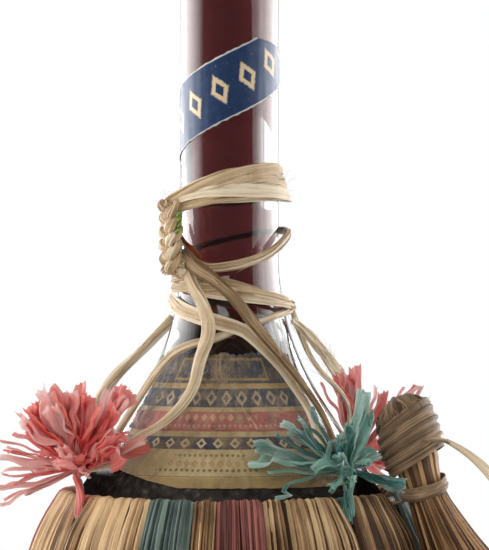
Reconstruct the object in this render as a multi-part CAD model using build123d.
# A one-litre straw-covered wine flask (a chianti fiasco): a blown glass flask with a round bottom, full of
# red wine and corked under a foil capsule, in a basket of upright straw leaves folded over a rim hoop and
# tied down to a straw foot ring. Raffia is plaited and wound round the neck, runs down to four raffia
# pompoms on the rim, and a straw tassel is lashed to the rim on the right.
# Frame: +Z up, the origin in the middle of the plane that the foot ring stands on, the labelled front
# towards -Y. Azimuths are in degrees, 0 at the front and rising towards +X. Millimetres throughout.
import os
from math import acos, atan2, cos, degrees, hypot, pi, radians, sin, sqrt, tan

from build123d import *

# Driving dimensions of the glass flask.
glass_lift = 7.5  # the round bottom's height above the table
ball_radius = 58.5
flank_angle = 32.2  # the shoulder's lean from the vertical
neck_radius = 14.9
blend_radius = 80.0  # the hollow curve from the shoulder into the neck
glass_height = 317.0
glass_wall = 2.4
bore_radius = 10.5
lip_radius = 15.4
lip_height = 7.0
lip_round = 1.6

# What the flask holds, and how it is closed.
film = 0.05  # between the wine and the glass
ullage = 14.0  # air between the wine and the cork
cork_length = 38.0
cork_recess = 1.0
cork_clearance = 0.04
cork_chamfer = 0.8
capsule_wall = 0.4
capsule_clearance = 0.25
capsule_length = 36.0
capsule_bead = 0.5  # the rolled bead low on the capsule's skirt
capsule_bead_rise = 5.0

# Paper: the slanting neck band and the two shoulder labels.
paper = 0.3
paste = 0.05
band_width = 18.2
band_slope = 26.5
band_turn = 250.0  # degrees round the neck
band_start = -150.0  # azimuth of the band's low end
band_start_rise = 31.1  # above the throat, where the neck turns straight
lower_label_rise = 5.0  # from the rim hoop to the lower label
lower_label_height, upper_label_height = 17.1, 22.0
label_gap = 0.4
upper_label_from, upper_label_to = -66.0, 56.0
lower_label_from, lower_label_to = -62.0, 58.0

# The straw basket.
leaf_count = 48
leaf_start = -26.5  # azimuth of the first leaf's left edge
leaf_play = 0.35  # gap between two leaves at the belly
basket_play = 0.7  # between the leaves and the glass
leaf_thickness = 3.9
leaf_relief = 0.4  # how much the leaves differ in thickness
leaf_end_angle = 68.0  # how far under the belly the leaves reach
hoop_radius = 1.5
hoop_play = 0.1
fold_thickness = 0.8
hoop_angle = 34.9  # the rim hoop's height, as an angle above the belly
rim_play = 0.3
teal_leaves = (0, 1, 13, 14, 26, 27, 35, 36)
rose_leaves = (3, 4, 16, 17, 29, 30, 38, 39)
relief_shares = (0.0, 1.0, 0.4, -0.6, 0.7)

# The straw foot ring, and the twisted girdle in the crook above it.
foot_radius = 6.5
foot_flat = 0.5
foot_play = 0.3
girdle_radius = 1.3

# Pompoms: the tie round the rim hoop, its stem and the tuft.
tie_boundaries = (9, -4, 21, -17)  # the leaf edges that the ties pass between
tie_width = 3.6
tie_thickness = 0.9
tie_play = 0.45
notch_depth = 7.5
stem_radius = 1.5
stem_length = 5.5
tuft_seat = 0.3
tuft_ball_radius = 3.0
tuft_reach = 18.0
tuft_strands = 62
tuft_dome = 82.0
strand_root = 0.42
strand_tip = 1.6

# Raffia round the neck.
wind_play = 0.5
collar_band_width = 8.0
collar_band_thickness = 1.6
collar_band_radius = 18.0
collar_band_tilt = 10.0
collar_band_rise = 18.4  # the heights of the raffia count from the throat
collar_band_shift = -1.1
collar_band_turn = 330.0
winding_diameter = 2.6
winding_start = -18.0  # azimuth of the neck winding's start; its rises follow each quarter turn
winding_rises = (-4.4, 4.2, 2.4, -7.2, -10.2, -14.5, -16.2, -14.9)
plait_azimuth = -62.0
plait_width, plait_thickness = 8.0, 3.6
plait_play = 0.3
knot_azimuth = -40.0
knot_rise = -2.6
knot_radius = 3.9

# The strands from the neck to the pompoms: which tie, the diameter, how far the strand swings round the
# knot that it ends at, and its route by azimuth, rise above the throat and lift off the glass.
arrival_angle = 125.0
arrival_run = 9.0
strand_routes = {
    "front_cord": (0, 2.8, 35, (
        (-26, -6.7, 5.2), (-7, -14.0, 5.2), (15, -20.6, 5.2), (33, -29.0, 5.0),
        (44, -38.0, 5.6), (48, -48.0, 6.4),
    )),
    "front_strand": (0, 2.2, -40, (
        (-86, -14.8, 1.9), (-62, -16.8, 1.9), (-38, -18.9, 2.3), (-16, -20.3, 3.6), (3, -23.0, 5.1),
        (16, -31.5, 2.9), (27, -39.5, 2.3), (34, -48.0, 3.5),
    )),
    "left_arch": (1, 2.2, 0, (
        (98, -18.1, 1.9), (74, -18.4, 1.9), (48, -19.2, 1.9), (26, -20.8, 1.8), (4, -23.1, 1.75),
        (-14, -26.0, 2.4), (-30, -27.2, 4.6), (-46, -31.5, 5.0), (-55, -42.2, 5.2),
    )),
    "left_strand": (1, 2.0, 60, (
        (-36, -8.4, 5.0), (-22, -14.6, 5.3), (-12, -23.0, 6.8), (-19, -32.0, 5.8), (-20, -41.0, 4.6),
        (-30, -49.5, 4.6), (-45, -55.5, 5.6),
    )),
    "left_back_strand": (1, 1.8, -60, (
        (-114, -18.2, 1.6), (-99, -26.2, 6.5), (-87, -36.2, 11.0), (-79, -46.7, 12.5),
    )),
    "right_strand": (2, 1.8, -25, (
        (108, -21.2, 1.6), (110, -29.0, 4.6), (113, -38.0, 7.2), (118, -47.5, 10.5),
    )),
    "far_strand": (3, 1.8, 25, (
        (-178, -20.2, 1.6), (-171, -28.7, 3.0), (-164, -38.2, 5.5), (-158, -48.2, 7.5),
    )),
}
loose_end_diameter = 2.2
loose_end_route = ((90, -21.4, 1.9), (87, -25.2, 5.6), (85, -30.0, 8.2), (85, -33.5, 8.8))

# The tassel at the right.
tassel_boundary = 13  # the leaf edge that its lashing passes
tassel_core_radius = 7.1
tassel_waist_radius = 5.9  # under the collar
tassel_head = 1.85  # bare straw above the whipping
tassel_stand_off = 11.7  # from the rim hoop out to the middle of its collar's foot
tassel_rise = 2.0  # and up
tassel_lean = 16.0
whip_diameter = 2.2
whip_pitch = 2.75
whip_turns = 7
whip_play = 0.15
collar_width = 5.2
collar_gap = 4.0  # bare straw between the collar and the whipping
collar_thickness = 1.1
lash_thickness = 0.6
lash_radius = 1.3
skirt_length = 38.0
skirt_half_width, skirt_half_depth = 20.0, 14.0
skirt_shift = 8.4  # how far its foot stands out from the core's line
skirt_strands = 130
skirt_root, skirt_tip = 0.36, 1.5
skirt_rim = 0.8  # bare edge of the backing outside its straws
skirt_backing = 1.6
tail_diameter = 2.4
tail_route = (  # by azimuth, distance from the flask's axis and height
    (71, 68.0, 119.5), (70.5, 72.5, 117.6), (70, 79.0, 113.2), (70, 86.0, 106.0), (70.5, 92.0, 95.0),
    (71, 95.5, 83.5), (71.5, 97.0, 72.5),
)

overrun = 5.0  # how far a cut runs past what it cuts

ball_centre = glass_lift + ball_radius
glass_top = glass_lift + glass_height
leaf_angle = 360 / leaf_count


def polar(radius, angle):
    """A point of the half section, at an angle above the ball's centre."""
    return radius * cos(radians(angle)), ball_centre + radius * sin(radians(angle))


def place(azimuth, radius, height):
    """The point at an azimuth, a distance from the flask's axis and a height."""
    return Vector(radius * sin(radians(azimuth)), -radius * cos(radians(azimuth)), height)


def turned(shape, azimuth):
    """A shape drawn at the front, turned to an azimuth."""
    return Rot(0, 0, azimuth) * shape


def section(*edges):
    """The face in the upright plane that the edges enclose."""
    return Plane.XZ * make_face(Wire(edges))


def outline_marks(offset):
    """Where the flask's outline, moved outwards, changes from ball to flank to hollow to neck."""
    ball, throat, hollow = ball_radius + offset, neck_radius + offset, blend_radius - offset
    shoulder = polar(ball, flank_angle)
    corner = shoulder[1] + (shoulder[0] - throat) / tan(radians(flank_angle))
    reach = hollow * tan(radians(flank_angle / 2))
    flank_end = (throat + reach * sin(radians(flank_angle)), corner - reach * cos(radians(flank_angle)))
    return shoulder, flank_end, (throat, corner + reach), hollow


def flask_section(ball, throat, hollow, top):
    """The half section of a flask's shape: round bottom, straight flank, hollow curve and neck."""
    pole, middle = (0, ball_centre - ball), polar(ball, (flank_angle - 90) / 2)
    shoulder = polar(ball, flank_angle)
    corner = shoulder[1] + (shoulder[0] - throat) / tan(radians(flank_angle))
    reach = hollow * tan(radians(flank_angle / 2))
    flank_end = (throat + reach * sin(radians(flank_angle)), corner - reach * cos(radians(flank_angle)))
    neck_start = (throat, corner + reach)
    half = radians(flank_angle / 2)
    hollow_middle = (throat + hollow - hollow * cos(half), neck_start[1] - hollow * sin(half))
    return section(
        ThreePointArc(pole, middle, shoulder),
        Line(shoulder, flank_end),
        ThreePointArc(flank_end, hollow_middle, neck_start),
        Line(neck_start, (throat, top)),
        Line((throat, top), (0, top)),
        Line((0, top), pole),
    )


def outer_section(offset, top=glass_top):
    """The glass's outer half section, moved outwards by an offset."""
    return flask_section(ball_radius + offset, neck_radius + offset, blend_radius - offset, top)


def inner_section(offset, top):
    """The half section of the space inside the glass, drawn in by an offset."""
    hollow = blend_radius + neck_radius - bore_radius + offset
    return flask_section(ball_radius - glass_wall - offset, bore_radius - offset, hollow, top)


def glass_radius(height):
    """The glass's outer radius at a height."""
    shoulder, flank_end, neck_start, hollow = outline_marks(0)
    if height >= neck_start[1]:
        return neck_radius
    if height >= flank_end[1]:
        return neck_radius + hollow - sqrt(hollow**2 - (neck_start[1] - height) ** 2)
    if height >= shoulder[1]:
        return shoulder[0] - (height - shoulder[1]) * tan(radians(flank_angle))
    return sqrt(ball_radius**2 - (height - ball_centre) ** 2)


throat_height = outline_marks(0)[2][1]


def around(azimuth, height, lift):
    """A point beside the glass, a lift outside its surface."""
    return place(azimuth, glass_radius(height) + lift, height)


def glass_flask():
    """The blown flask with its thickened lip."""
    body = revolve(outer_section(0), Axis.Z)
    ring = Pos(0, 0, glass_top - lip_height) * Cylinder(
        lip_radius, lip_height, align=(Align.CENTER, Align.CENTER, Align.MIN)
    )
    rounding = min(lip_round, (lip_radius - bore_radius) / 3)
    ring = fillet(ring.edges().filter_by(GeomType.CIRCLE), rounding)
    return body + ring - revolve(inner_section(0, glass_top + overrun), Axis.Z)


cork_top = glass_top - cork_recess
wine_level = cork_top - cork_length - ullage


def cork():
    """The straight cork in the bore."""
    body = Cylinder(
        bore_radius - cork_clearance, cork_length, align=(Align.CENTER, Align.CENTER, Align.MAX)
    )
    return Pos(0, 0, cork_top) * chamfer(body.edges().filter_by(GeomType.CIRCLE), cork_chamfer)


def capsule():
    """The foil cap pressed over the lip, with a rolled bead near its hem."""
    inside = lip_radius + capsule_clearance
    outside = inside + capsule_wall
    foot = glass_top + capsule_clearance - capsule_length
    top = glass_top + capsule_clearance + capsule_wall
    shell = Plane.XZ * Pos(outside / 2, (foot + top) / 2) * Rectangle(outside, top - foot)
    shell += Plane.XZ * Pos(outside, foot + capsule_bead_rise) * Circle(capsule_bead)
    shell -= Plane.XZ * Pos(inside / 2, foot + (capsule_length - overrun) / 2) * Rectangle(
        inside, capsule_length + overrun
    )
    cap = revolve(shell, Axis.Z)
    return fillet(cap.edges().filter_by(GeomType.CIRCLE).sort_by(Axis.Z)[-1], lip_round)


def neck_band():
    """The paper strip that climbs round the neck: a flat strip swept along a helix."""
    radius = neck_radius + paste + paper / 2
    upright = band_width / cos(radians(band_slope))
    pitch = 2 * pi * radius * tan(radians(band_slope))
    path = Helix(pitch, pitch * band_turn / 360, radius)
    strip = Plane((radius, 0, 0), x_dir=(1, 0, 0), z_dir=(0, 1, 0)) * Rectangle(paper, upright)
    band = sweep(strip, path=path, is_frenet=True)
    return Pos(0, 0, throat_height + band_start_rise) * Rot(0, 0, band_start - 90) * band


def shoulder_label(low, height, start, end):
    """A paper label that lies on the flank and the foot of the hollow curve."""
    skin = outer_section(paste + paper) - outer_section(paste)
    window = Plane.XZ * Pos(ball_radius / 2, low + height / 2) * Rectangle(ball_radius, height)
    piece = revolve(skin & window, Axis.Z, revolution_arc=end - start)
    return Rot(0, 0, start - 90) * piece


fold_outside = hoop_radius + hoop_play + fold_thickness
hoop_reach = ball_radius + rim_play + fold_outside
hoop_centre, hoop_height = polar(hoop_reach, hoop_angle)
basket_inside = ball_radius + basket_play
basket_outside = basket_inside + leaf_thickness


def rim_hoop():
    """The twisted straw cord that the leaves fold over."""
    return Pos(0, 0, hoop_height) * Torus(hoop_centre, hoop_radius)


def leaf_section(relief):
    """A leaf's half section: a curved slat with a rolled head round the hoop."""
    outside = basket_outside + relief
    head, foot, middle = hoop_angle, -leaf_end_angle, (hoop_angle - leaf_end_angle) / 2
    slat = section(
        ThreePointArc(polar(outside, foot), polar(outside, middle), polar(outside, head)),
        Line(polar(outside, head), polar(basket_inside, head)),
        ThreePointArc(polar(basket_inside, head), polar(basket_inside, middle), polar(basket_inside, foot)),
        Line(polar(basket_inside, foot), polar(outside, foot)),
    )
    roll = Plane.XZ * Pos(hoop_centre, hoop_height) * Circle(fold_outside)
    tunnel = Plane.XZ * Pos(hoop_centre, hoop_height) * Circle(hoop_radius + hoop_play)
    return slat + roll - tunnel


def boundary_azimuth(number):
    """The azimuth of the edge between two leaves."""
    return leaf_start + number * leaf_angle


def notch(azimuth):
    """The gap that a tie needs between two leaves, as a cutter."""
    radial = 2 * fold_outside + overrun
    cutter = Box(tie_width + 2 * tie_play, radial, 2 * notch_depth)
    tip = Pos(0, 0, -notch_depth) * Rot(0, 45, 0) * Box(
        (tie_width + 2 * tie_play) / sqrt(2), radial, (tie_width + 2 * tie_play) / sqrt(2)
    )
    return turned(Pos(0, -hoop_centre, hoop_height) * (cutter + tip), azimuth)


def basket_leaves():
    """The upright leaves as solids, by the number of their place round the basket."""
    play = degrees(leaf_play / basket_outside)
    patterns = [
        revolve(leaf_section(leaf_relief * share), Axis.Z, revolution_arc=leaf_angle - play)
        for share in relief_shares
    ]
    leaves = [
        Rot(0, 0, boundary_azimuth(number) + play / 2 - 90) * patterns[number % len(patterns)]
        for number in range(leaf_count)
    ]
    for boundary in (*tie_boundaries, tassel_boundary):
        cutter = notch(boundary_azimuth(boundary))
        for number in (boundary - 1, boundary):
            leaves[number % leaf_count] -= cutter
    return leaves


foot_height = foot_radius - foot_flat
foot_reach = sqrt(
    (basket_outside + leaf_relief + foot_play + foot_radius) ** 2 - (ball_centre - foot_height) ** 2
)


def foot_ring():
    """The straw rope ring under the basket, pressed flat where it stands."""
    ring = Pos(0, 0, foot_height) * Torus(foot_reach, foot_radius)
    below = Cylinder(
        foot_reach + 2 * foot_radius, 2 * foot_radius, align=(Align.CENTER, Align.CENTER, Align.MAX)
    )
    return ring - below


def girdle():
    """The twisted raffia cord in the crook between the leaves and the foot ring."""
    from_ball = basket_outside + leaf_relief + foot_play + girdle_radius
    from_ring = foot_radius + foot_play + girdle_radius
    apart = hypot(foot_reach, ball_centre - foot_height)
    bend = acos((from_ball**2 + apart**2 - from_ring**2) / (2 * from_ball * apart))
    down = atan2(ball_centre - foot_height, foot_reach) - bend
    return Pos(0, 0, ball_centre - from_ball * sin(down)) * Torus(from_ball * cos(down), girdle_radius)


# Pompoms.
stem_foot = hoop_height + hoop_radius + hoop_play + tie_thickness / 2
tuft_height = stem_foot + stem_length + tuft_seat + tuft_ball_radius
tuft_reach_out = hoop_centre + (stem_length + tuft_ball_radius) * sin(radians(flank_angle)) / 2


def rim_tie(boundary):
    """A raffia loop round the rim hoop, with the stem that it sends up to the pompom's knot."""
    bore = hoop_radius + hoop_play
    loop = Rot(0, 90, 0) * (Cylinder(bore + tie_thickness, tie_width) - Cylinder(bore, 2 * tie_width))
    rise = Vector(0, hoop_centre - tuft_reach_out, tuft_height - hoop_height)
    stem = Plane((0, 0, 0), z_dir=rise) * Cylinder(
        stem_radius,
        rise.length - tuft_ball_radius - tuft_seat,
        align=(Align.CENTER, Align.CENTER, Align.MIN),
    )
    stem -= Rot(0, 90, 0) * Cylinder(bore, 2 * tie_width)
    return turned(Pos(0, -hoop_centre, hoop_height) * (loop + stem), boundary_azimuth(boundary))


def strand(root, tip, root_width, tip_width):
    """A four-sided straw or raffia strip from root to tip."""
    direction = tip - root
    start = Plane(root, z_dir=direction) * Rectangle(root_width, root_width)
    end = Plane(tip, x_dir=Plane(root, z_dir=direction).x_dir, z_dir=direction) * Rectangle(
        tip_width, tip_width
    )
    return loft([start.face(), end.face()], ruled=True)


def pompom(boundary, reach):
    """A tuft of raffia strips that spray from a small knot, away from the glass."""
    centre = Vector(0, -tuft_reach_out, tuft_height)
    outwards = Vector(0, -cos(radians(flank_angle)), sin(radians(flank_angle)))
    away = Plane(centre, z_dir=outwards)
    golden = pi * (3 - sqrt(5))
    lowest = cos(radians(tuft_dome))
    strands = []
    for number in range(tuft_strands):
        rise = 1 - (1 - lowest) * (number + 0.5) / tuft_strands
        flat = sqrt(1 - rise**2)
        spray = Vector(flat * cos(golden * number), flat * sin(golden * number), rise)
        length = reach * (1 - 0.28 * ((number * 7) % 5) / 4)
        root = away.from_local_coords(spray * (tuft_ball_radius * 0.7))
        tip = away.from_local_coords(spray * length)
        strands.append(strand(root, tip, strand_root, strand_tip))
    # The ball's seam faces the glass, where no strip crosses it.
    knot = Plane(centre, x_dir=-outwards, z_dir=(1, 0, 0)) * Sphere(tuft_ball_radius)
    return turned(knot.fuse(*strands), boundary_azimuth(boundary))


# Raffia at the neck.
def tube(points, diameter):
    """A round tube along straight runs joined by the largest arcs that they allow."""
    points = [Vector(point) for point in points]
    radii = []
    for before, here, after in zip(points, points[1:], points[2:]):
        into, out = here - before, after - here
        turn = radians(into.get_angle(out))
        radii.append(0.45 * min(into.length, out.length) / tan(turn / 2))
    path = FilletPolyline(*points, radius=radii)
    piece = sweep(Plane(path @ 0, z_dir=path % 0) * Circle(diameter / 2), path=path)
    exact = pi * diameter**2 / 4 * path.length
    print(
        f"tube {diameter} mm: {path.length:.1f} mm long, tightest {min(radii):.1f} mm,"
        f" volume over section times length {piece.volume / exact:.4f}"
    )
    return piece


def tilted_ring(profile, height, shift, tilt, start, turn):
    """A profile carried round the neck on a tilted circle, from an azimuth on."""
    ring = revolve(Plane.XZ * profile, Axis.Z, revolution_arc=turn)
    return Pos(shift, 0, height) * Rot(0, -tilt, 0) * Rot(0, 0, start - 90) * ring


def collar_band():
    """The broad raffia band at the top of the tie, an open loop."""
    profile = Pos(collar_band_radius, 0) * Ellipse(collar_band_thickness / 2, collar_band_width / 2)
    return tilted_ring(
        profile, throat_height + collar_band_rise, collar_band_shift, collar_band_tilt,
        plait_azimuth - 10, collar_band_turn,
    )


def biarc(start, along, end, onward):
    """Two tangent arcs from a point and its direction to another point and its direction."""
    chord, both = end - start, along + onward
    square = 2 * (1 - along.dot(onward))
    linear = 2 * chord.dot(both)
    reach = (-linear + sqrt(linear**2 + 4 * square * chord.dot(chord))) / (2 * square)
    middle = (start + end + (along - onward) * reach) * 0.5
    first = TangentArc(start, middle, tangent=along)
    return [first, TangentArc(middle, end, tangent=first % 1)]


def wound_tube(point, quarters, diameter, name):
    """One unbroken tube along a wound line: a biarc for each quarter turn, and straight ends."""
    step = 1 / 64

    def heading(quarter):
        return (point(quarter + step) - point(quarter - step)).normalized()

    arcs = []
    for quarter in range(quarters):
        arcs += biarc(point(quarter), heading(quarter), point(quarter + 1), heading(quarter + 1))
    start, end = point(0), point(quarters)
    lead, tail = heading(0), heading(quarters)
    path = Wire([Line(start - lead * diameter, start), *arcs, Line(end, end + tail * diameter)])
    piece = sweep(Plane(path @ 0, z_dir=path % 0) * Circle(diameter / 2), path=path)
    marks = [point(number / 12) for number in range(12 * quarters + 1)]
    gaps = [
        (marks[one] - marks[other]).length - diameter
        for one in range(len(marks))
        for other in range(one + 24, len(marks))
    ]
    print(f"{name}: {quarters / 4} turns, least gap to itself {min(gaps):.2f} mm")
    return piece


def neck_winding():
    """The strand that winds round the neck under the knot, from its side down to the shoulder."""

    def point(quarter):
        azimuth = winding_start + 90 * quarter
        place_in = min(max(quarter, 0), len(winding_rises) - 1)
        low = min(int(place_in), len(winding_rises) - 2)
        share = place_in - low
        table = [winding_rises[min(max(low + number, 0), len(winding_rises) - 1)]
                 for number in (-1, 0, 1, 2)]
        bend = (table[2] - table[0]) / 2, (table[3] - table[1]) / 2
        height = (
            table[1] * (1 + 2 * share) * (1 - share) ** 2
            + bend[0] * share * (1 - share) ** 2
            + table[2] * share**2 * (3 - 2 * share)
            - bend[1] * share**2 * (1 - share)
        )
        return around(azimuth, throat_height + height, wind_play + winding_diameter / 2)

    return wound_tube(point, len(winding_rises) - 1, winding_diameter, "neck winding")


def plait():
    """The plaited stem that joins the broad band to the knot, as its outer shape."""
    radius = neck_radius + wind_play + plait_thickness / 2
    tilt = radians(collar_band_tilt)
    band_drop = collar_band_radius * sin(tilt) + collar_band_width / 2 * cos(tilt)
    low = throat_height + knot_rise + knot_radius + plait_play
    high = throat_height + collar_band_rise - band_drop - plait_play
    flat = Ellipse(plait_width / 2, plait_thickness / 2)
    bar = extrude(flat, high - low)
    bar = fillet(bar.edges().filter_by(GeomType.ELLIPSE), plait_thickness / 6)
    return turned(Pos(0, -radius, low) * bar, plait_azimuth)


knot_centre = place(
    knot_azimuth, neck_radius + wind_play + knot_radius, throat_height + knot_rise
)


def tie_knot():
    """The round knot on the neck that the strands leave from."""
    return Pos(knot_centre) * Sphere(knot_radius)


def to_tuft(boundary, route, swing):
    """A route by azimuth, height and lift, ended at the knot of a pompom, on the glass's side of it."""
    turn = radians(boundary_azimuth(boundary))
    lean = radians(flank_angle)
    out = Vector(sin(turn) * cos(lean), -cos(turn) * cos(lean), sin(lean))
    up = Vector(-sin(turn) * sin(lean), cos(turn) * sin(lean), cos(lean))
    side = Vector(cos(turn), sin(turn), 0)
    behind, sway = radians(arrival_angle), radians(swing)
    arrival = out * cos(behind) + (up * cos(sway) + side * sin(sway)) * sin(behind)
    knot = place(boundary_azimuth(boundary), tuft_reach_out, tuft_height)
    near = tuft_ball_radius + tuft_seat
    points = [around(azimuth, throat_height + rise, lift) for azimuth, rise, lift in route]
    return [*points, knot + arrival * arrival_run, knot + arrival * near]


def loose_end():
    """The short frayed end that stands off the shoulder at the right."""
    points = [around(azimuth, throat_height + rise, lift) for azimuth, rise, lift in loose_end_route]
    return tube(points, loose_end_diameter)


# The tassel's own frame: x outwards, z up along its leaning core, the origin at its collar's foot.
tassel_azimuth = boundary_azimuth(tassel_boundary)
tassel_frame = (
    Rot(0, 0, tassel_azimuth - 90)
    * Pos(hoop_centre + tassel_stand_off, 0, hoop_height + tassel_rise)
    * Rot(0, -tassel_lean, 0)
)
whipping_height = whip_turns * whip_pitch + whip_diameter
tassel_height = collar_width + collar_gap + whipping_height + tassel_head


def tassel_core():
    """The bound sheaf of folded straw."""
    shoulder = collar_width + collar_gap
    outline = Polyline(
        (0, 0),
        (tassel_waist_radius, 0),
        (tassel_waist_radius, shoulder - collar_gap / 2),
        (tassel_core_radius, shoulder),
        (tassel_core_radius, tassel_height),
        (0, tassel_height),
        close=True,
    )
    core = revolve(Plane.XZ * make_face(outline), Axis.Z)
    return tassel_frame * fillet(core.faces().sort_by(Axis.Z)[-1].edges(), tassel_core_radius / 2)


def tassel_skirt():
    """The straws below the collar, spreading from a slice of the sheaf without crossing."""
    golden = pi * (3 - sqrt(5))
    backing = Cylinder(
        tassel_waist_radius, skirt_backing, align=(Align.CENTER, Align.CENTER, Align.MAX)
    )
    straws = []
    for number in range(skirt_strands):
        out = sqrt((number + 0.5) / skirt_strands)
        across, along = out * cos(golden * number), out * sin(golden * number)
        inner = tassel_waist_radius - skirt_rim
        length = skirt_length * (1 - 0.2 * ((number * 7) % 5) / 4)
        spread = length / skirt_length
        root = Vector(inner * across, inner * along, -skirt_backing / 2)
        foot = Vector(
            inner * across + spread * (skirt_shift + (skirt_half_depth - inner) * across),
            inner * along + spread * (skirt_half_width - inner) * along,
            -length,
        )
        straws.append(strand(root, foot, skirt_root, skirt_tip))
    return tassel_frame * backing.fuse(*straws)


def tassel_whipping():
    """The strand whipped round the sheaf, one unbroken tube."""
    radius = tassel_core_radius + whip_play + whip_diameter / 2
    low = collar_width + collar_gap + whip_diameter / 2

    def point(quarter):
        angle = radians(90 * quarter)
        return Vector(radius * cos(angle), radius * sin(angle), low + whip_pitch * quarter / 4)

    return tassel_frame * wound_tube(point, 4 * whip_turns, whip_diameter, "tassel whipping")


def tassel_collar():
    """The lashing: a band round the sheaf, a short neck and the loop that rides on the rim hoop."""
    inside = tassel_waist_radius + whip_play
    band = Cylinder(inside + collar_thickness, collar_width) - Cylinder(inside, 2 * collar_width)
    band = tassel_frame * Pos(0, 0, collar_width / 2) * band
    bore = hoop_radius + hoop_play
    hoop_place = Rot(0, 0, tassel_azimuth - 90) * Pos(hoop_centre, 0, hoop_height)
    loop = hoop_place * Rot(90, 0, 0) * Cylinder(bore + lash_thickness, tie_width)
    middle = (tassel_frame * Pos(0, 0, collar_width / 2)).position
    reach = middle - hoop_place.position
    neck = Plane(hoop_place.position, z_dir=reach) * Cylinder(
        lash_radius, reach.length, align=(Align.CENTER, Align.CENTER, Align.MIN)
    )
    neck -= tassel_frame * Cylinder(inside + collar_thickness / 2, 2 * tassel_height)
    lashing = band + loop + neck
    return lashing - hoop_place * Rot(90, 0, 0) * Cylinder(bore, 2 * tie_width)


def tassel_tail():
    """The raffia end that hangs from the whipping, out to the right."""
    return tube([place(*point) for point in tail_route], tail_diameter)


os.makedirs("parts", exist_ok=True)


def save(name, *solids):
    """Writes one named piece, or a group of like ones."""
    found = [solid for shape in solids for solid in shape.solids()]
    export_step(Compound(children=found) if len(found) > 1 else found[0], f"parts/{name}.step")


save("glass_flask", glass_flask())
save("wine", revolve(inner_section(film, wine_level), Axis.Z))
save("cork", cork())
save("capsule", capsule())
save("neck_band", neck_band())
lower_label_low = hoop_height + lower_label_rise
upper_label_low = lower_label_low + lower_label_height + label_gap
save("lower_label", shoulder_label(lower_label_low, lower_label_height, lower_label_from, lower_label_to))
save("upper_label", shoulder_label(upper_label_low, upper_label_height, upper_label_from, upper_label_to))
leaves = basket_leaves()
save("straw_teal", *(leaves[number] for number in teal_leaves))
save("straw_rose", *(leaves[number] for number in rose_leaves))
save(
    "straw_natural",
    *(leaf for number, leaf in enumerate(leaves) if number not in teal_leaves + rose_leaves),
)
save("rim_hoop", rim_hoop())
save("foot_ring", foot_ring())
save("girdle", girdle())
for name, boundary in zip(("front", "left", "back", "far"), tie_boundaries):
    save(f"{name}_tie", rim_tie(boundary))
    save(f"{name}_pompom", pompom(boundary, tuft_reach))
save("collar_band", collar_band())
save("neck_winding", neck_winding())
save("plait", plait())
save("tie_knot", tie_knot())
for name, (tie, diameter, swing, route) in strand_routes.items():
    save(name, tube(to_tuft(tie_boundaries[tie], route, swing), diameter))
save("loose_end", loose_end())
save("tassel_core", tassel_core())
save("tassel_skirt", tassel_skirt())
save("tassel_whipping", tassel_whipping())
save("tassel_collar", tassel_collar())
save("tassel_tail", tassel_tail())
